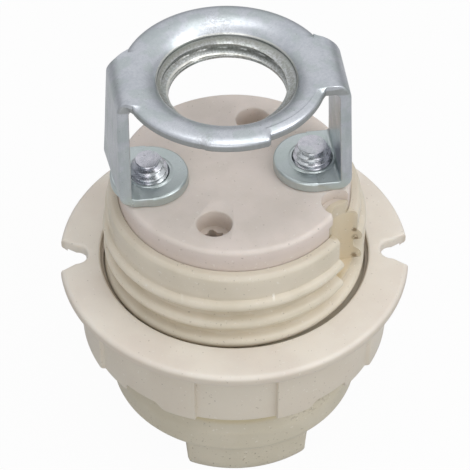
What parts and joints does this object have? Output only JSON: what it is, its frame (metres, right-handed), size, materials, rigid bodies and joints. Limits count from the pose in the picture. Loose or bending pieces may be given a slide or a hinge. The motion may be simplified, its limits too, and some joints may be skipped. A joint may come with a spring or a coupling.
{
  "type": "lamp holder",
  "caption": "Two-pin capsule lamp holder: threaded plastic body with terminal cap, screw-on shade ring and sheet-steel bracket with a threaded eyelet.",
  "frame": {"origin": "middle of the nose's end face, on the holder's axis", "axes": "+Z along the axis to the wiring end and bracket, X from bracket leg to leg, Y along the row of lamp pins"},
  "size_m": [0.028, 0.028, 0.0353],
  "materials": {
    "body_plastic": "satin moulded, natural cream",
    "cap_plastic": "satin moulded, pinkish grey",
    "ring_plastic": "satin moulded, pale pinkish cream",
    "zinc_sheet": "bright zinc plated, bluish",
    "zinc_screw": "bright zinc plated",
    "contact_metal": "nickel alloy strip",
    "spring_steel": "stainless spring strip"
  },
  "bodies": {
    "holder": {"threaded_body": "body_plastic", "terminal_cap": "cap_plastic", "mounting_bracket": "zinc_sheet", "screw_left": "zinc_screw", "screw_right": "zinc_screw", "contact_front": "contact_metal", "contact_back": "contact_metal", "clamp_spring_front": "spring_steel", "clamp_spring_back": "spring_steel"},
    "ring": {"shade_ring": "ring_plastic"}
  },
  "joints": [
    {"name": "ring_turn", "type": "hinge", "parent": "holder", "child": "ring", "pos_m": [0, 0, 0.0165], "axis": [0, 0, 1], "range_deg": [-360, 720]}
  ]
}
